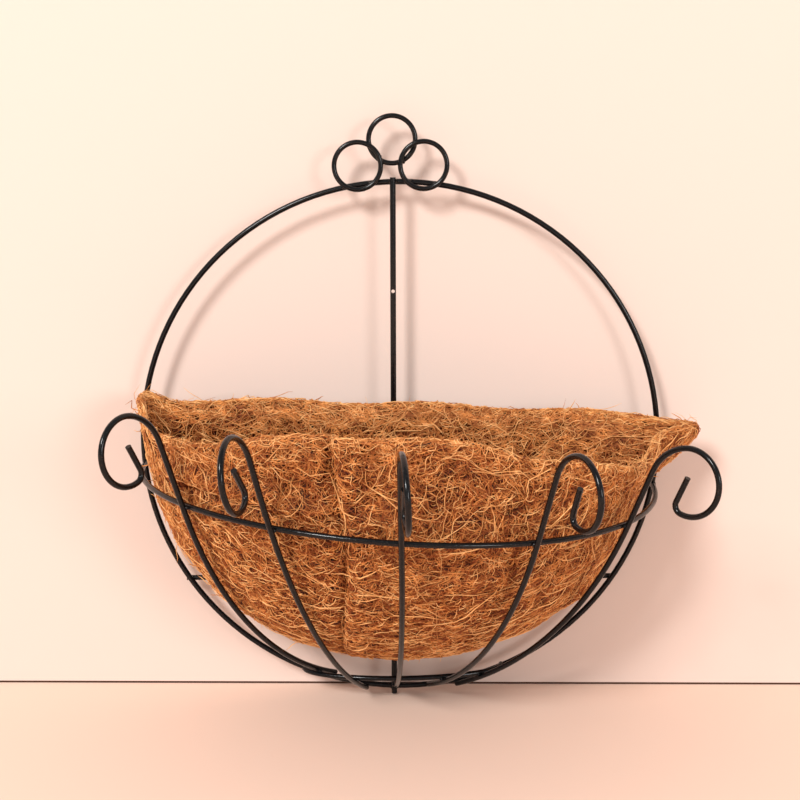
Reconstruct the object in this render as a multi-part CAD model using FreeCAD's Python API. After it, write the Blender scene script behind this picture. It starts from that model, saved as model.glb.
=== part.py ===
"""Half-round wall basket: a welded wire frame with a lift-out coir liner.

Millimetres. +Z up, +X to the viewer's right, the basket stands out towards -Y.
Origin: the centre of the nail hole in the upright. The work is laid out about
the centre of the back hoop and moved to the origin as each part is written.
"""
import FreeCAD, Part
import math
import os

from FreeCAD import Vector

# ---- wire -------------------------------------------------------------------
HOOP_WIRE = 1.6         # radii
UPRIGHT_WIRE = 1.65
BAR_WIRE = 1.5          # crossbar, both half rings and the ribs
CREST_WIRE = 1.4
BITE = 0.25             # how far two wires sink into each other at a weld

# ---- back plane, seen from the front ----------------------------------------
HOOP_R = 148.4          # to the wire's centre: 300 mm over the wire
UPRIGHT_X = -3.4        # tacked on a little left of centre
UPRIGHT_TOP, UPRIGHT_FOOT = 150.7, -151.8
NAIL_HEIGHT = 87.3      # nail hole above the hoop's centre
NAIL_HOLE_R = 1.0
CROSSBAR = (-126.0, -82.7), (125.0, -81.1)

UPRIGHT_Y = -(HOOP_WIRE + UPRIGHT_WIRE - BITE)
CROSSBAR_Y = HOOP_WIRE + BAR_WIRE - BITE
CREST_Y = -(HOOP_WIRE + CREST_WIRE - BITE)

# ---- crest: three rings, the top one behind the lower two --------------------
CREST_R = 13.0
CREST = {
    "crest_ring_left": (-23.1, CREST_Y, 157.0),
    "crest_ring_right": (13.8, CREST_Y, 157.4),
    "crest_ring_top": (-3.9, CREST_Y + 2 * CREST_WIRE - BITE, 171.5),
}

# ---- upper half ring, which the ribs cross -----------------------------------
BAND_CENTRE_X, BAND_HALF_WIDTH, BAND_DEPTH = -0.5, 146.4, 138.7
BAND_HEIGHT = -18.3     # at the middle of the chord between its ends
BAND_TILT = -0.042      # falls to the right
BAND_RISE = -2.6        # of the front over the ends
BAND_WARP = 1.9         # left quarter up, right quarter down

# ---- lower half ring, under the liner ----------------------------------------
FOOT_CENTRE_X, FOOT_HALF_WIDTH, FOOT_DEPTH = 1.4, 58.5, 20.7
FOOT_HEIGHT, FOOT_TILT = -135.4, 0.02

# ---- ribs --------------------------------------------------------------------
# Every rib is one wire bent in one plane: a bowl that runs out and up from the
# hoop, a straight leg past the upper half ring, then the scroll, bent back
# outwards over the same former, and a straight tip inside the scroll.
NECK_R, CROWN_R, HEEL_R, HOOK_R = 25.6, 17.2, 16.9, 4.1
CROWN_TURN, HEEL_TURN, HOOK_TURN = 155.0, 52.1, 99.6
TIP = 14.5
# foot = where the bowl starts, across and up; tail = straight end behind it;
# way = direction in plan from +X towards the front; rise = first slope;
# bowl = radius and turn; neck, crown = turns; swing = lean of the plane about
# the line from the foot to the leg.
RIBS = {
    "rib_left_outer": dict(foot=(-41.4, -138.5), tail=5.5, way=125.1, rise=23.3, bowl=(215.5, 45.6),
                           leg=43.4, neck=55.6, crown=6.4, swing=3.4),
    "rib_left_inner": dict(foot=(-20.3, -148.5), tail=1.2, way=108.2, rise=25.9, bowl=(297.8, 41.7),
                           leg=15.1, neck=64.5, crown=7.1, swing=9.5),
    "rib_centre": dict(foot=(-2.5, -146.1), tail=1.5, way=88.0, rise=22.8, bowl=(277.5, 38.6),
                       leg=47.5, neck=68.5, crown=0.0, swing=4.3),
    "rib_right_inner": dict(foot=(17.2, -146.5), tail=1.4, way=67.6, rise=21.8, bowl=(261.4, 41.4),
                            leg=38.4, neck=58.5, crown=-6.4, swing=1.9),
    "rib_right_outer": dict(foot=(34.2, -145.9), tail=1.0, way=44.4, rise=24.5, bowl=(239.6, 41.4),
                            leg=32.7, neck=54.9, crown=-0.5, swing=-1.3),
}
RIB_Y = -(HOOP_WIRE + BAR_WIRE - BITE)
CENTRE_RIB_Y = UPRIGHT_Y - (UPRIGHT_WIRE + BAR_WIRE - BITE)     # laid on the upright

# ---- liner -------------------------------------------------------------------
LINER_BACK = -5.3       # clear of the upright
# height, half width, depth of the D-shaped outline
OUTSIDE = [(-118.0, 48.0, 38.0), (-110.0, 66.0, 51.0), (-98.0, 86.0, 68.0), (-79.0, 110.0, 89.0),
           (-50.0, 128.0, 112.0), (-24.0, 138.5, 127.0), (0.0, 142.0, 130.0), (50.0, 150.0, 140.0)]
INSIDE = [(-108.5, 46.0, 24.0), (-97.0, 70.0, 45.0), (-78.0, 97.0, 69.0), (-49.0, 117.0, 93.0),
          (-23.0, 129.5, 108.5), (0.0, 133.5, 112.5), (55.0, 140.5, 122.0)]
INSIDE_BACK = LINER_BACK - 9.0
RIM_HEIGHT, RIM_TILT = 24.0, -3.4       # at the middle; degrees, falls to the right
EAR = [(138.0, -24.0), (169.0, 3.0), (166.0, 10.0), (138.0, 10.0)]     # right corner, turned out
EAR_DEPTH = 16.0

TO_ORIGIN = Vector(-UPRIGHT_X, -UPRIGHT_Y, -NAIL_HEIGHT)


def write(name, shape):
    shape = shape.copy()
    shape.translate(TO_ORIGIN)
    shape.exportStep("parts/%s.step" % name)


def sweep(path, radius):
    """Round wire along a smooth path."""
    start = path.Edges[0]
    end = start.valueAt(start.FirstParameter)
    way = start.tangentAt(start.FirstParameter)
    ring = Part.Wire([Part.Circle(end, way, radius).toShape()])
    return path.makePipeShell([ring], True, False)


def rod(a, b, radius):
    a, b = Vector(*a), Vector(*b)
    return Part.makeCylinder(radius, (b - a).Length, a, b - a)


def ring(centre, radius, wire):
    return Part.makeTorus(radius, wire, Vector(*centre), Vector(0, 1, 0))


def half_ring(centre_x, half_width, depth, height_at):
    """Half ring standing out from the front of the hoop, ends on the hoop."""
    points = []
    for step in range(13):
        t = math.pi * step / 12
        x = centre_x - half_width * math.cos(t)
        y = -(HOOP_WIRE - BITE) - depth * math.sin(t)
        points.append(Vector(x, y, height_at(x, t)))
    curve = Part.BSplineCurve()
    curve.interpolate(points)
    return sweep(Part.Wire([curve.toShape()]), BAR_WIRE)


def band_height(x, t):
    return BAND_HEIGHT + BAND_TILT * x + BAND_RISE * math.sin(t) + BAND_WARP * math.sin(2 * t)


def foot_height(x, t):
    return FOOT_HEIGHT + FOOT_TILT * x


class BentWire:
    """Path drawn in the XY plane, bend by bend, as on a wire bender."""

    def __init__(self, start, slope):
        self.at, self.angle, self.edges = start, math.radians(slope), []

    def way(self):
        return Vector(math.cos(self.angle), math.sin(self.angle), 0)

    def straight(self, length):
        end = self.at + self.way() * length
        self.edges.append(Part.LineSegment(self.at, end).toShape())
        self.at = end

    def bend(self, radius, turn):
        """turn in degrees, positive to the left."""
        side = 1 if turn > 0 else -1
        turn = math.radians(turn)
        centre = self.at + Vector(-math.sin(self.angle), math.cos(self.angle), 0) * radius * side
        spoke = self.at - centre
        turned = [Vector(spoke.x * math.cos(a) - spoke.y * math.sin(a),
                         spoke.x * math.sin(a) + spoke.y * math.cos(a), 0) for a in (turn / 2, turn)]
        self.edges.append(Part.Arc(self.at, centre + turned[0], centre + turned[1]).toShape())
        self.at = centre + turned[1]
        self.angle += turn


def rib(foot, tail, way, rise, bowl, leg, neck, crown, swing, y=RIB_Y):
    slope = math.radians(rise)
    wire = BentWire(Vector(-tail * math.cos(slope), -tail * math.sin(slope), 0), rise)
    wire.straight(tail)
    wire.bend(bowl[0], bowl[1])
    leg_start = wire.at
    wire.straight(leg)
    chord = (leg_start + wire.at) * 0.5
    wire.bend(NECK_R, -neck)
    wire.bend(CROWN_R, -(CROWN_TURN + crown))
    wire.bend(HEEL_R, -HEEL_TURN)
    wire.bend(HOOK_R, -HOOK_TURN)
    wire.straight(TIP)
    path = Part.Wire(wire.edges)
    path.rotate(Vector(0, 0, 0), chord, swing)
    path.rotate(Vector(0, 0, 0), Vector(1, 0, 0), 90)       # stand the plane up
    path.rotate(Vector(0, 0, 0), Vector(0, 0, 1), -way)
    path.translate(Vector(foot[0], y, foot[1]))
    return sweep(path, BAR_WIRE)


def d_outline(height, half_width, depth, back):
    """Flat back, half-ellipse front."""
    left, right = Vector(-half_width, back, height), Vector(half_width, back, height)
    if half_width >= depth:
        ellipse = Part.Ellipse(right, Vector(0, back + depth, height), Vector(0, back, height))
    front = Part.Arc(ellipse, math.pi, 2 * math.pi).toShape()
    return Part.Wire([front, Part.LineSegment(right, left).toShape()])


def liner():
    outside = Part.makeLoft([d_outline(h, w, d, LINER_BACK) for h, w, d in OUTSIDE], True)
    corners = [Vector(x, LINER_BACK, z) for x, z in EAR]
    ear = Part.Face(Part.makePolygon(corners + corners[:1])).extrude(Vector(0, -EAR_DEPTH, 0))
    inside = Part.makeLoft([d_outline(h, w, d, INSIDE_BACK) for h, w, d in INSIDE], True)
    above = Part.makeBox(400, 400, 100, Vector(-200, -300, RIM_HEIGHT))
    above.rotate(Vector(0, 0, RIM_HEIGHT), Vector(0, 1, 0), -RIM_TILT)
    return outside.fuse(ear).cut(inside).cut(above).removeSplitter()


os.makedirs("parts", exist_ok=True)

write("back_hoop", ring((0, 0, 0), HOOP_R, HOOP_WIRE))

upright = rod((UPRIGHT_X, UPRIGHT_Y, UPRIGHT_FOOT), (UPRIGHT_X, UPRIGHT_Y, UPRIGHT_TOP), UPRIGHT_WIRE)
nail_hole = rod((UPRIGHT_X, UPRIGHT_Y - 5, NAIL_HEIGHT), (UPRIGHT_X, UPRIGHT_Y + 5, NAIL_HEIGHT), NAIL_HOLE_R)
write("back_upright", upright.cut(nail_hole))

(left_x, left_z), (right_x, right_z) = CROSSBAR
write("back_crossbar", rod((left_x, CROSSBAR_Y, left_z), (right_x, CROSSBAR_Y, right_z), BAR_WIRE))

for name, centre in CREST.items():
    write(name, ring(centre, CREST_R, CREST_WIRE))

write("upper_band", half_ring(BAND_CENTRE_X, BAND_HALF_WIDTH, BAND_DEPTH, band_height))
write("lower_band", half_ring(FOOT_CENTRE_X, FOOT_HALF_WIDTH, FOOT_DEPTH, foot_height))

for name, bends in RIBS.items():
    write(name, rib(y=CENTRE_RIB_Y if name == "rib_centre" else RIB_Y, **bends))

write("coir_liner", liner())
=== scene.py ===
import math

import bpy
import numpy as np
from mathutils import Matrix, Vector


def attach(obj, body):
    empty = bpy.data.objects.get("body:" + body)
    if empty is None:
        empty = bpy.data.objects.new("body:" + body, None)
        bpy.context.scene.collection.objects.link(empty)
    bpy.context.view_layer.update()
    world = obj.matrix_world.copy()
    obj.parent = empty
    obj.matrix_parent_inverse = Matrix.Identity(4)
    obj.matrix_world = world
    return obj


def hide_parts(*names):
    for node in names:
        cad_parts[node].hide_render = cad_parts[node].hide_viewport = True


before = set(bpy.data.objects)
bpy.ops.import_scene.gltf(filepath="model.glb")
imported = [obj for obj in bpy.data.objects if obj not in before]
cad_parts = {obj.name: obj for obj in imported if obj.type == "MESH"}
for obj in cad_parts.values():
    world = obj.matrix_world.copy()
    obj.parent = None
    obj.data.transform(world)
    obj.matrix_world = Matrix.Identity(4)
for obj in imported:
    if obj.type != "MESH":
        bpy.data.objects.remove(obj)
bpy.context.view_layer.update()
rng = np.random.default_rng(31)

# The frame and liner are laid out in millimetres about the centre of the back
# hoop, x right, y into the wall, z up, and moved to the nail hole in metres.
HOOP_CENTRE = np.array([3.4, 3.0, -87.3])


def row(points):
    return (np.asarray(points, dtype=float) + HOOP_CENTRE) / 1000


# ---- finishes ----------------------------------------------------------------


class Signal:
    """A shader output that can be used in sums and products."""

    def __init__(self, finish, socket):
        self.finish, self.socket = finish, socket

    def maths(self, operation, a, b):
        return self.finish.node("ShaderNodeMath", {"operation": operation}, {0: a, 1: b})

    def __add__(self, other):
        return self.maths("ADD", self, other)

    __radd__ = __add__

    def __sub__(self, other):
        return self.maths("SUBTRACT", self, other)

    def __mul__(self, other):
        return self.maths("MULTIPLY", self, other)

    __rmul__ = __mul__

    def clamped(self):
        return self.finish.node("ShaderNodeClamp", {}, {0: self})


class Finish:
    """A material on one Principled shader; constants go on its own sockets."""

    def __init__(self, name, constants):
        self.material = bpy.data.materials.new(name)
        self.material.use_nodes = True
        self.tree = self.material.node_tree
        self.shader = self.tree.nodes["Principled BSDF"]
        for key, value in constants.items():
            self.shader.inputs[key].default_value = value

    def node(self, kind, settings=None, values=None, output=0):
        made = self.tree.nodes.new(kind)
        for key, value in (settings or {}).items():
            if key == "stops":
                ramp = made.color_ramp.elements
                while len(ramp) < len(value):
                    ramp.new(0.5)
                for stop, (place, colour) in zip(ramp, value):
                    stop.position, stop.color = place, (*colour, 1)
            else:
                setattr(made, key, value)
        for key, value in (values or {}).items():
            self.feed(made.inputs[key], value)
        return Signal(self, made.outputs[output])

    def feed(self, socket, value):
        if isinstance(value, Signal):
            self.tree.links.new(value.socket, socket)
        else:
            socket.default_value = value

    def drive(self, key, value):
        self.feed(self.shader.inputs[key], value)

    def place(self, stretch=(1, 1, 1), turn=(0, 0, 0)):
        """Position on the object in metres, stretched and turned."""
        coordinates = self.node("ShaderNodeTexCoord", output=3)
        return self.node("ShaderNodeMapping", {}, {"Vector": coordinates, "Scale": stretch, "Rotation": turn})

    def noise(self, scale, detail=3.0, roughness=0.5, distortion=0.0, where=None):
        return self.node("ShaderNodeTexNoise", {}, {
            "Vector": where or self.place(), "Scale": scale, "Detail": detail,
            "Roughness": roughness, "Distortion": distortion})

    def ramp(self, value, stops):
        return self.node("ShaderNodeValToRGB", {"stops": stops}, {0: value})

    def mix(self, factor, a, b):
        return self.node("ShaderNodeMix", {"data_type": "RGBA"}, {0: factor, 6: a, 7: b}, output=2)

    def bump(self, height, distance, strength=1.0):
        self.drive("Normal", self.node("ShaderNodeBump", {}, {
            "Height": height, "Distance": distance, "Strength": strength}))


def powder_coat(name, dust):
    """Satin black powder coat: faint orange peel, a little grey dust and rub."""
    coat = Finish(name, {"Specular IOR Level": 0.2, "Coat Weight": 0.1, "Coat Roughness": 0.05})
    peel = coat.noise(1500.0, detail=1.0)
    patches = coat.noise(55.0, detail=4.0, roughness=0.65)
    specks = (coat.noise(700.0, detail=2.0, roughness=0.7) * 3.2 - 1.85).clamped()
    grey = (specks * 0.13 + (patches * 2.4 - 1.25).clamped() * 0.03) * dust
    coat.drive("Base Color", coat.mix(grey, (0.0035, 0.0035, 0.004, 1), (0.13, 0.12, 0.11, 1)))
    coat.drive("Roughness", 0.13 + patches * 0.12 + specks * 0.2)
    coat.bump(peel + patches * 0.6, 0.00006, 0.5)
    return coat.material


def coir_felt():
    """Matted ground of the liner; its dark tones are painted shade for the gaps under crossing fibres."""
    felt = Finish("coir_felt_ground_and_gap_shade", {"Specular IOR Level": 0.05})
    layers = []
    for turn, stretch in ((0.5, (1, 1, 3.5)), (1.9, (1, 1, 4)), (2.7, (1, 1, 3)), (1.2, (1, 1, 4))):
        where = felt.place(stretch, (0.6 * turn, turn * 1.3, turn))
        layers.append(felt.noise(330.0, detail=3.0, roughness=0.6, distortion=0.6, where=where))
    weave = (layers[0] + layers[1] + layers[2] + layers[3]) * 0.25
    clumps = felt.noise(38.0, detail=3.0)
    tone = ((weave - 0.5) * 4.2 + 0.42 + (clumps - 0.5) * 0.3).clamped()
    # painted shade: the near-black low end of this ramp stands for shade in the gaps between fibres
    felt.drive("Base Color", felt.ramp(tone, (
        (0.0, (0.018, 0.0035, 0.0015)), (0.4, (0.065, 0.013, 0.0035)),
        (0.7, (0.20, 0.052, 0.013)), (0.9, (0.40, 0.13, 0.033)), (1.0, (0.54, 0.21, 0.062)))))
    felt.drive("Roughness", 0.82 + clumps * 0.15)
    felt.bump(weave + clumps * 0.4, 0.0022, 0.9)
    return felt.material


def fibre(name, pale, deep):
    """One batch of fibres, paler and deeper along its length."""
    strand = Finish(name, {"Specular IOR Level": 0.3, "Roughness": 0.6})
    tone = (strand.noise(140.0, detail=2.0) * 2.6 - 0.8).clamped()
    strand.drive("Base Color", strand.mix(tone, (*deep, 1), (*pale, 1)))
    strand.drive("Roughness", 0.52 + tone * 0.2)
    return strand.material


WIRE = powder_coat("black_powder_coat", 1.0)
WELD = powder_coat("black_powder_coat_welds", 1.6)
FELT_AND_GAP_SHADE = coir_felt()
FIBRES = {
    "straw": fibre("fibre_straw", (0.98, 0.55, 0.225), (0.70, 0.30, 0.09)),
    "gold": fibre("fibre_gold", (0.80, 0.325, 0.09), (0.36, 0.10, 0.02)),
    "rust": fibre("fibre_rust", (0.38, 0.098, 0.018), (0.19, 0.035, 0.006)),
    "umber": fibre("fibre_umber", (0.095, 0.014, 0.003), (0.03, 0.004, 0.001)),
}

# ---- making pieces ------------------------------------------------------------


def piece(name, points, faces, material, body):
    mesh = bpy.data.meshes.new(name)
    mesh.from_pydata(points, [], faces)
    mesh.materials.append(material)
    mesh.polygons.foreach_set("use_smooth", np.full(len(mesh.polygons), True))
    mesh.update()
    made = bpy.data.objects.new(name, mesh)
    bpy.context.scene.collection.objects.link(made)
    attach(made, body)
    return made


def smoothstep(value, low, high):
    t = np.clip((value - low) / (high - low), 0, 1)
    return t * t * (3 - 2 * t)


# ---- the coir liner -----------------------------------------------------------
# A felt bowl, flat at the back. across runs once round it, from the left back
# corner along the front (0 to 0.64) and home along the back; up runs from the
# middle of the bottom, up the outside, over the rim and down the inside.

BACK = -5.6             # y of the flat back
FRONT_SHARE = 0.64
RIM_HEIGHT = 24         # the height in WALL that the rim tables rise and fall about
EAR_REACH = 24          # how far the right back corner turns out
# up, half width, depth from that row's own back edge, back edge, height, and
# share of the rim's rise and fall
WALL = np.array([
    (0.00, 1.0, 1.0, -24.0, -117.0, 0), (0.05, 26.0, 17.0, -13.0, -117.6, 0),
    (0.09, 46.0, 34.0, -7.0, -116.0, 0), (0.13, 63.0, 47.0, -6.0, -109.5, 0),
    (0.18, 84.0, 65.0, BACK, -98.0, 0), (0.25, 108.0, 87.0, BACK, -79.0, 0),
    (0.33, 126.5, 110.0, BACK, -50.0, 0), (0.40, 136.5, 125.0, BACK, -24.0, 0.0),
    (0.45, 140.5, 129.5, BACK, -2.0, 0.45), (0.50, 145.0, 135.0, BACK, 16.5, 0.9),
    (0.52, 146.0, 136.5, BACK - 0.5, 22.0, 1), (0.535, 144.5, 133.0, BACK - 2.5, 24.2, 1),
    (0.55, 142.5, 125.0, BACK - 7.0, 23.0, 1), (0.57, 138.5, 116.5, BACK - 9.5, 17.0, 0.9),
    (0.62, 132.0, 110.5, BACK - 9.5, -3.0, 0.45), (0.68, 127.5, 105.0, BACK - 9.5, -24.0, 0),
    (0.76, 117.0, 90.5, BACK - 9.5, -49.0, 0), (0.84, 97.0, 67.0, BACK - 10.0, -76.0, 0),
    (0.91, 68.0, 43.0, BACK - 10.0, -96.0, 0), (0.96, 40.0, 26.0, BACK - 12.0, -107.0, 0),
    (1.00, 1.0, 1.0, BACK - 22.0, -108.5, 0)])
RIM = 0.535
# heights up the outside, and the value of up at each
OUTSIDE_LEVELS = (WALL[1:12, 4], WALL[1:12, 0])
# rim height along the front by x, and along the back by x
FRONT_RIM = ((-150, -128, -101, -67, -30, 2, 40, 75, 102, 137, 150),
             (30, 20, 20, 27, 30, 30.5, 25, 15, 8.5, 2, 6))
BACK_RIM = ((-146, -140, -128, -80, 0, 60, 142, 160, 172), (30, 31, 26, 25.5, 23.5, 21.5, 17, 13, 10))


def ripple(a, b, seed):
    """Slow unevenness over the surface, about -1 to 1."""
    turn = np.random.default_rng(seed).uniform(0, 2 * math.pi, (5, 3))
    total = 0
    for step, (p, q, r) in enumerate(turn):
        total = total + np.sin(2 * math.pi * (step + 1.0) * a + p + 1.7 * np.sin(3 * b + q)) * np.sin(
            (2.1 + 1.9 * step) * b + r) / (1 + 0.45 * step)
    return total / 1.8


def surface(across, up):
    """Point on the felt, in millimetres about the hoop's centre."""
    across, up = np.broadcast_arrays(np.mod(across, 1.0), np.clip(up, 0, 1))
    half, depth, back, height, share = (np.interp(up, WALL[:, 0], WALL[:, i]) for i in range(1, 6))
    front = across < FRONT_SHARE
    angle = math.pi * np.clip(across / FRONT_SHARE, 0, 1)
    # 0 outside, 1 inside, where the corners are rounder
    turn_in = smoothstep(up, 0.528, 0.585)
    corner = (0.045 + 0.13 * turn_in) * half
    along = 1 - 2 * np.clip((across - FRONT_SHARE) / (1 - FRONT_SHARE), 0, 1)
    x = np.where(front, -half * np.cos(angle), half * along)
    y = np.where(front, back - corner - (depth - corner) * np.sin(angle),
                 back - corner * np.abs(along) ** (9 - 4 * turn_in))
    # 1 along the front, 0 along the back, blended round the corners
    lip = np.where(front, smoothstep(np.sin(angle), 0.06, 0.42), 0)
    rise = lip * np.interp(x, *FRONT_RIM) + (1 - lip) * np.interp(x, *BACK_RIM) - RIM_HEIGHT
    z = height + share * rise
    # fold down the front, with the felt lapped on its right
    lap = x + 29 + 3 * np.sin(z / 23)
    fold = -5.0 * np.exp(-(lap / 3.2) ** 2) + 2.4 * np.exp(-((lap - 7) / 5.5) ** 2)
    # a shallower crease from it towards the left corner
    crease = z + 16 + 0.12 * (x + 25) - 2.5 * np.sin(x / 19)
    dent = 3.0 * np.exp(-((crease - 6) / 5.0) ** 2) - 3.2 * np.exp(-(crease / 2.8) ** 2)
    fold = fold + dent * smoothstep(-x, 30, 55) * smoothstep(x, -135, -110)
    fold = np.where(front, fold, 0) * smoothstep(up, 0.07, 0.16) * (1 - turn_in)
    # soft bulges between the ribs and sag along the rim; the inside follows the
    # outside at the same height, so the felt keeps its thickness
    outside = np.where(up > RIM, np.interp(height, *OUTSIDE_LEVELS), up)
    wave = ripple(across, outside * 9, 5) * (1.5 + 0.3 * turn_in) * smoothstep(outside, 0.04, 0.14)
    wave = wave + share * (1.0 + 0.6 * turn_in) * np.sin(across * 41 + 1.2)
    out = (fold + wave - 0.6) * np.where(front, 1, 0.7 * turn_in)
    norm = np.where(front, np.sin(angle), 0)
    x = x + np.where(front, -np.cos(angle), 0) * out
    y = y - np.where(front, norm, turn_in) * out
    # right back corner turned out over the frame
    ear = smoothstep(x, 112, 150) * smoothstep(y, -52, -14) * smoothstep(z, -30, 12)
    x = x + EAR_REACH * ear * (1 - 0.3 * turn_in)
    z = z - 2 * ear + 1.2 * share * np.sin(across * 57)
    return np.stack([x, y, z], axis=-1)


def normals(across, up):
    step = 0.002
    a = surface(across + step, up) - surface(across - step, up)
    b = surface(across, up + step) - surface(across, up - step)
    n = np.cross(a, b)
    return n / np.maximum(np.linalg.norm(n, axis=-1, keepdims=True), 1e-9)


AROUND, UPWARD = 360, 270
ups = np.interp(np.linspace(0, 1, UPWARD), (0, 0.5, 1), (0.002, 0.53, 0.998))
grid_a, grid_u = np.meshgrid(np.arange(AROUND) / AROUND, ups)
felt = surface(grid_a, grid_u)
rough = rng.normal(0, 0.25, grid_a.shape)
for _ in range(2):
    rough = (rough + np.roll(rough, 1, 0) + np.roll(rough, 1, 1)) / 1.9
felt = felt + normals(grid_a, grid_u) * ((rough - 0.5) * smoothstep(grid_u, 0, 0.03))[..., None]
index = np.arange(AROUND * UPWARD).reshape(UPWARD, AROUND)
right = np.roll(index, -1, axis=1)
quads = np.stack([index[:-1], right[:-1], right[1:], index[1:]], axis=-1).reshape(-1, 4).tolist()
caps = [index[0][::-1].tolist(), index[-1].tolist()]
liner = piece("coir_felt", row(felt.reshape(-1, 3)), quads + caps, FELT_AND_GAP_SHADE, "liner")
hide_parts("coir_liner")


# ---- loose fibres --------------------------------------------------------------


# steps that fill a square evenly, one for each of its sides
STEP_A, STEP_U = 0.7548776662, 0.5698402910


def strands(name, count, tone, low, high, a_low, a_high, length, radius, lift, lean, stray=0.0):
    """Curly fibres lying on the felt between two heights; lean is how flat they lie."""
    joints = 9
    # spread evenly by area, so that no bare patch is left
    levels = np.linspace(low, high, 120)
    bands = surface(np.linspace(a_low, a_high, 60)[:, None], levels[None])
    rises = np.linalg.norm(np.diff(bands, axis=1), axis=-1)[:-1]
    widths = np.linalg.norm(np.diff(bands, axis=0), axis=-1)[:, :-1]
    area = rises * widths
    share = np.concatenate([[0], np.cumsum(area.sum(0))])
    order = np.arange(count)
    spot_a = np.mod(rng.random() + order * STEP_A, 1) + rng.normal(0, 0.004, count)
    spot_u = np.clip(np.mod(rng.random() + order * STEP_U, 1) + rng.normal(0, 0.004, count), 0, 1)
    a = a_low + (a_high - a_low) * spot_a
    u = np.interp(spot_u * share[-1], share, levels)
    way = rng.normal(0, lean, count) + np.where(rng.random(count) < 0.5, 0, math.pi)
    bend = rng.normal(0, 1.5, count)
    curl = rng.normal(0, 0.45, count)
    span = length * rng.uniform(0.45, 1.5, count)
    step = span / (joints - 1)
    line, tops = [], []
    probe = 0.004
    for k in range(joints):
        here = surface(a, u)
        line.append(here)
        tops.append(normals(a, u))
        du = np.linalg.norm(surface(a, u + probe) - surface(a, u - probe), axis=-1) / (2 * probe)
        da = np.linalg.norm(surface(a + probe, u) - surface(a - probe, u), axis=-1) / (2 * probe)
        heading = way + bend * (k / joints - 0.5) + curl * math.sin(1.3 * k)
        a = a + np.cos(heading) * step / np.maximum(da, 30)
        u = np.clip(u + np.sin(heading) * step / np.maximum(du, 30), low - 0.02, high + 0.02)
        u = np.clip(u, 0.004, 0.996)
    line, tops = np.stack(line, 1), np.stack(tops, 1)
    t = np.linspace(0, 1, joints)
    height = lift * rng.uniform(0.1, 1.0, (count, 1)) * (0.35 + np.sin(math.pi * t) ** 2)
    height = height + 0.25 * lift * np.sin(7 * t + rng.uniform(0, 6, (count, 1)))
    fly = np.where(rng.random((count, 1)) < stray, rng.uniform(2, 9, (count, 1)), 0)
    fly = fly * np.clip(t * 1.6 - 0.6, 0, 1) ** 1.4
    line = line + tops * (height + fly)[..., None]
    line = line + rng.normal(0, 0.12, line.shape)
    ahead = np.gradient(line, axis=1)
    ahead = ahead / np.maximum(np.linalg.norm(ahead, axis=-1, keepdims=True), 1e-9)
    side = np.cross(ahead, tops)
    side = side / np.maximum(np.linalg.norm(side, axis=-1, keepdims=True), 1e-9)
    top = np.cross(side, ahead)
    thick = radius * rng.uniform(0.65, 1.5, (count, 1)) * (1 - 0.75 * np.abs(2 * t - 1) ** 5)
    rings = [line + thick[..., None] * (math.cos(g) * top + math.sin(g) * side) for g in (0, 2.1, 4.19)]
    points = np.stack(rings, axis=2).reshape(-1, 3)
    n = np.arange(count * joints * 3).reshape(count, joints, 3)
    m = np.roll(n, -1, axis=2)
    sides = np.stack([n[:, :-1], m[:, :-1], m[:, 1:], n[:, 1:]], axis=-1).reshape(-1, 4).tolist()
    ends = n[:, 0, ::-1].tolist() + n[:, -1].tolist()
    return piece(name, row(points), sides + ends, FIBRES[tone], "liner")


SHARE = 1.0
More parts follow.
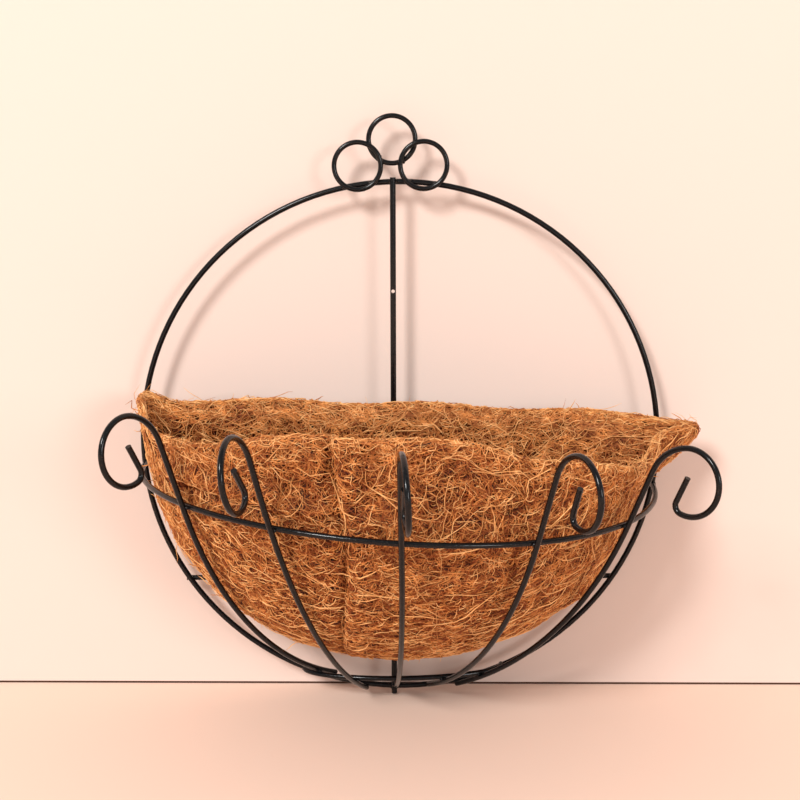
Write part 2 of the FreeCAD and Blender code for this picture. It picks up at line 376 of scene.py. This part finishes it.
# name, how many, tone, from, to, round from, round to, length, radius, lift, lean, stray
BATCHES = (
    ("outside_umber", 3600, "umber", 0.02, 0.52, 0, 0.64, 18, 0.28, 0.4, 1.5, 0),
    ("outside_rust_left", 3800, "rust", 0.02, 0.53, 0, 0.33, 17, 0.25, 0.6, 1.5, 0),
    ("outside_rust_right", 3800, "rust", 0.02, 0.53, 0.31, 0.64, 17, 0.25, 0.6, 1.5, 0),
    ("outside_rust_fine", 3900, "rust", 0.02, 0.53, 0, 0.64, 12, 0.20, 0.8, 1.5, 0),
    ("outside_gold_fine", 3900, "gold", 0.02, 0.535, 0, 0.64, 11, 0.19, 1.0, 1.5, 0),
    ("outside_gold_left", 3800, "gold", 0.02, 0.535, 0, 0.33, 15, 0.225, 0.9, 1.5, 0.004),
    ("outside_gold_right", 3800, "gold", 0.02, 0.535, 0.31, 0.64, 15, 0.225, 0.9, 1.5, 0.004),
    ("outside_straw", 2900, "straw", 0.03, 0.54, 0, 0.64, 14, 0.20, 1.2, 1.5, 0.008),
    ("outside_long", 420, "straw", 0.05, 0.53, 0, 0.64, 42, 0.25, 1.6, 1.5, 0.03),
    ("rim_gold", 2600, "gold", 0.50, 0.57, 0, 1, 14, 0.23, 0.8, 0.45, 0.02),
    ("rim_straw", 1100, "straw", 0.51, 0.57, 0, 1, 16, 0.21, 1.1, 0.5, 0.05),
    ("inside_gold", 3900, "gold", 0.55, 0.98, 0, 1, 17, 0.26, 0.8, 0.9, 0.005),
    ("inside_gold_back", 2600, "gold", 0.55, 0.76, 0.64, 1, 16, 0.23, 1.0, 0.9, 0.005),
    ("inside_straw", 3900, "straw", 0.55, 0.97, 0, 1, 17, 0.24, 1.2, 0.9, 0.01),
    ("inside_long", 360, "straw", 0.56, 0.95, 0, 1, 40, 0.25, 1.6, 0.9, 0.02),
    ("inside_rust", 3900, "rust", 0.55, 0.98, 0, 1, 19, 0.28, 0.5, 0.9, 0),
    ("ear_rust", 700, "rust", 0.50, 0.68, 0.585, 0.70, 13, 0.24, 0.5, 0.8, 0),
    ("ear_gold", 800, "gold", 0.50, 0.66, 0.585, 0.70, 12, 0.22, 0.8, 0.7, 0),
    ("back_umber", 1400, "umber", 0.05, 0.52, 0.64, 1, 20, 0.28, 0.2, 0.9, 0),
    ("back_rust", 3000, "rust", 0.05, 0.52, 0.64, 1, 18, 0.26, 0.25, 0.9, 0),
    ("back_gold", 3000, "gold", 0.05, 0.52, 0.64, 1, 16, 0.24, 0.3, 0.9, 0),
)
for name, count, *rest in BATCHES:
    strands("fibres_" + name, int(count * SHARE), *rest)

# ---- welds ---------------------------------------------------------------------
# Small lumps where the wires cross: place, direction of the longer axis, size
WELDS = (
    ((-3.4, -1.6, 148.6), (1, 0, 0), 2.2), ((-3.4, -1.6, -148.5), (1, 0, 0), 2.2),
    ((124.2, 1.5, -81.1), (1, 0, 0.7), 2.0), ((-123.2, 1.5, -82.7), (1, 0, -0.7), 2.0),
    ((-15.6, -1.4, 147.6), (1, 0, 0.2), 1.9), ((-30.0, -1.4, 145.4), (1, 0, 0.3), 1.9),
    ((20.4, -1.4, 147.0), (1, 0, -0.2), 1.9), ((5.2, -1.4, 148.3), (1, 0, 0), 1.9),
    ((-11.2, -1.5, 161.4), (1, 0, 1), 1.7), ((-16.4, -1.5, 168.2), (0.3, 0, 1), 1.7),
    ((8.9, -1.5, 169.2), (0.3, 0, 1), 1.7), ((1.8, -1.5, 159.8), (1, 0, -1), 1.7),
    ((-147.4, -1.6, -12.1), (0.1, 1, 0), 2.1), ((146.6, -1.6, -24.4), (0.1, 1, 0), 2.1),
    ((-57.0, -1.2, -136.8), (0.6, 1, 0.2), 1.9), ((59.6, -1.2, -135.0), (0.6, 1, 0.2), 1.9),
    ((-39.6, -0.4, -141.6), (0.6, -0.5, 0.3), 2.0), ((-20.1, -1.2, -147.9), (0.3, -0.9, 0.4), 1.9),
    ((-3.3, -4.4, -146.3), (0, -0.9, 0.4), 2.0), ((17.0, -1.2, -146.9), (-0.3, -0.9, 0.4), 1.9),
    ((33.6, -1.3, -145.2), (-0.7, -0.7, 0.4), 1.9),
    ((-107.4, -97.9, -14.2), (1, -1, 0), 1.7), ((-59.9, -129.4, -17.5), (1, -0.4, 0), 1.7),
    ((2.8, -141.2, -21.7), (1, 0, 0), 1.7), ((67.9, -125.3, -25.6), (1, 0.4, 0), 1.7),
    ((117.8, -85.1, -27.2), (1, 1, 0), 1.7), ((-47.3, -11.9, -135.0), (1, -0.6, 0), 1.6),
    ((-25.0, -20.6, -137.1), (1, -0.4, 0), 1.6), ((-1.4, -22.6, -136.7), (1, 0, 0), 1.6),
    ((24.9, -20.8, -136.1), (1, 0.4, 0), 1.6), ((46.3, -14.9, -135.7), (1, 0.6, 0), 1.6),
    ((141.2, 0.3, -45.6), (0.3, 0, 1), 1.9),
)
points, faces = [], []
for place, way, size in WELDS:
    long = Vector(way).normalized()
    turn = long.to_track_quat("X", "Z").to_matrix()
    wobble = rng.normal(0, 0.06, 12)
    start = len(points)
    for i in range(9):
        latitude = math.pi * i / 8
        for j in range(12):
            longitude = 2 * math.pi * j / 12
            lumps = 0.05 * math.sin(3 * longitude + 5 * latitude)
            swell = size * (1 + wobble[j] * math.sin(latitude) + lumps)
            local = Vector((1.15 * math.cos(latitude), 0.82 * math.sin(latitude) * math.cos(longitude),
                            0.82 * math.sin(latitude) * math.sin(longitude))) * swell
            points.append(row(Vector(place) + turn @ local))
    for i in range(8):
        for j in range(12):
            k = (j + 1) % 12
            row_at = start + i * 12
            faces.append((row_at + j, row_at + k, row_at + 12 + k, row_at + 12 + j))
welds = piece("weld_lumps", points, faces, WELD, "wire_frame")

for name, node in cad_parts.items():
    if name != "coir_liner":
        for place in range(max(1, len(node.material_slots))):
            if node.material_slots:
                node.material_slots[place].material = WIRE
            else:
                node.data.materials.append(WIRE)

# ---- floor, wall, light and camera ---------------------------------------------

FLOOR, WALL_FACE = -0.2403, 0.0175
REACH = 4               # how far the boards run
SKIRT = FLOOR + 0.0008  # the wall's lower edge
GAP_SHADE_FACE = WALL_FACE - 0.0003
GAP_SHADE_TOP = FLOOR + 0.0012


def backdrop(name, corners, tint, low):
    """A sheet of painted board, solid from its front and clear from behind."""
    paint = Finish(name, {"Specular IOR Level": 0.1, "Roughness": 0.85})
    blotch = paint.noise(1.6, detail=2.0)
    paint.drive("Base Color", paint.mix(blotch, (*tint, 1), (*low, 1)))
    behind = paint.node("ShaderNodeNewGeometry", output="Backfacing")
    clear = paint.node("ShaderNodeBsdfTransparent", output=0)
    board = Signal(paint, paint.shader.outputs[0])
    sheet = paint.node("ShaderNodeMixShader", {}, {0: behind, 1: board, 2: clear})
    paint.feed(paint.tree.nodes["Material Output"].inputs["Surface"], sheet)
    mesh = bpy.data.meshes.new(name)
    mesh.from_pydata(corners, [], [(0, 1, 2, 3)])
    mesh.materials.append(paint.material)
    made = bpy.data.objects.new(name, mesh)
    bpy.context.scene.collection.objects.link(made)


backdrop("wall", [(-REACH, WALL_FACE, SKIRT), (REACH, WALL_FACE, SKIRT),
                  (REACH, WALL_FACE, REACH), (-REACH, WALL_FACE, REACH)],
         (0.735, 0.585, 0.515), (0.725, 0.575, 0.505))
backdrop("floor", [(-REACH, -REACH, FLOOR), (REACH, -REACH, FLOOR),
                   (REACH, 0.4, FLOOR), (-REACH, 0.4, FLOOR)],
         (0.91, 0.675, 0.555), (0.90, 0.665, 0.545))
# painted shade: a dark strip stands for the shade in the gap where the wall meets the floor
backdrop("painted_gap_shade_strip", [(-REACH, GAP_SHADE_FACE, FLOOR), (REACH, GAP_SHADE_FACE, FLOOR),
                   (REACH, GAP_SHADE_FACE, GAP_SHADE_TOP), (-REACH, GAP_SHADE_FACE, GAP_SHADE_TOP)],
         (0.10, 0.045, 0.03), (0.06, 0.03, 0.02))


def lamp(name, place, target, size, power, colour):
    light = bpy.data.lights.new(name, "AREA")
    light.shape, light.size, light.energy, light.color = "DISK", size, power, colour
    made = bpy.data.objects.new(name, light)
    made.location = place
    made.rotation_euler = (Vector(target) - Vector(place)).to_track_quat("-Z", "Y").to_euler()
    bpy.context.scene.collection.objects.link(made)


lamp("key", (-2.0, -3.6, 2.6), (0, -0.05, -0.1), 1.2, 205.0, (1.0, 0.99, 0.97))
lamp("fill", (2.8, -3.9, 0.8), (0, 0, -0.1), 1.4, 70.0, (1.0, 0.99, 0.98))
world = bpy.data.worlds.new("room")
world.use_nodes = True
world.node_tree.nodes["Background"].inputs["Color"].default_value = (1.0, 0.99, 0.98, 1)
world.node_tree.nodes["Background"].inputs["Strength"].default_value = 0.5
bpy.context.scene.world = world
bpy.context.scene.view_settings.view_transform = "Standard"

lens = bpy.data.cameras.new("camera")
lens.sensor_width, lens.lens = 36.0, 59.45
camera = bpy.data.objects.new("camera", lens)
ahead = Vector((-0.01303868, 0.98552765, -0.16901255))
rightward = Vector((0.99991499, 0.01283592, -0.00229225))
upward = rightward.cross(ahead)
stand = Vector((0.01361, -0.74585, 0.06553))
camera.matrix_world = Matrix((
    (rightward.x, upward.x, -ahead.x, stand.x), (rightward.y, upward.y, -ahead.y, stand.y),
    (rightward.z, upward.z, -ahead.z, stand.z), (0, 0, 0, 1)))
bpy.context.scene.collection.objects.link(camera)
bpy.context.scene.camera = camera

bpy.context.view_layer.update()
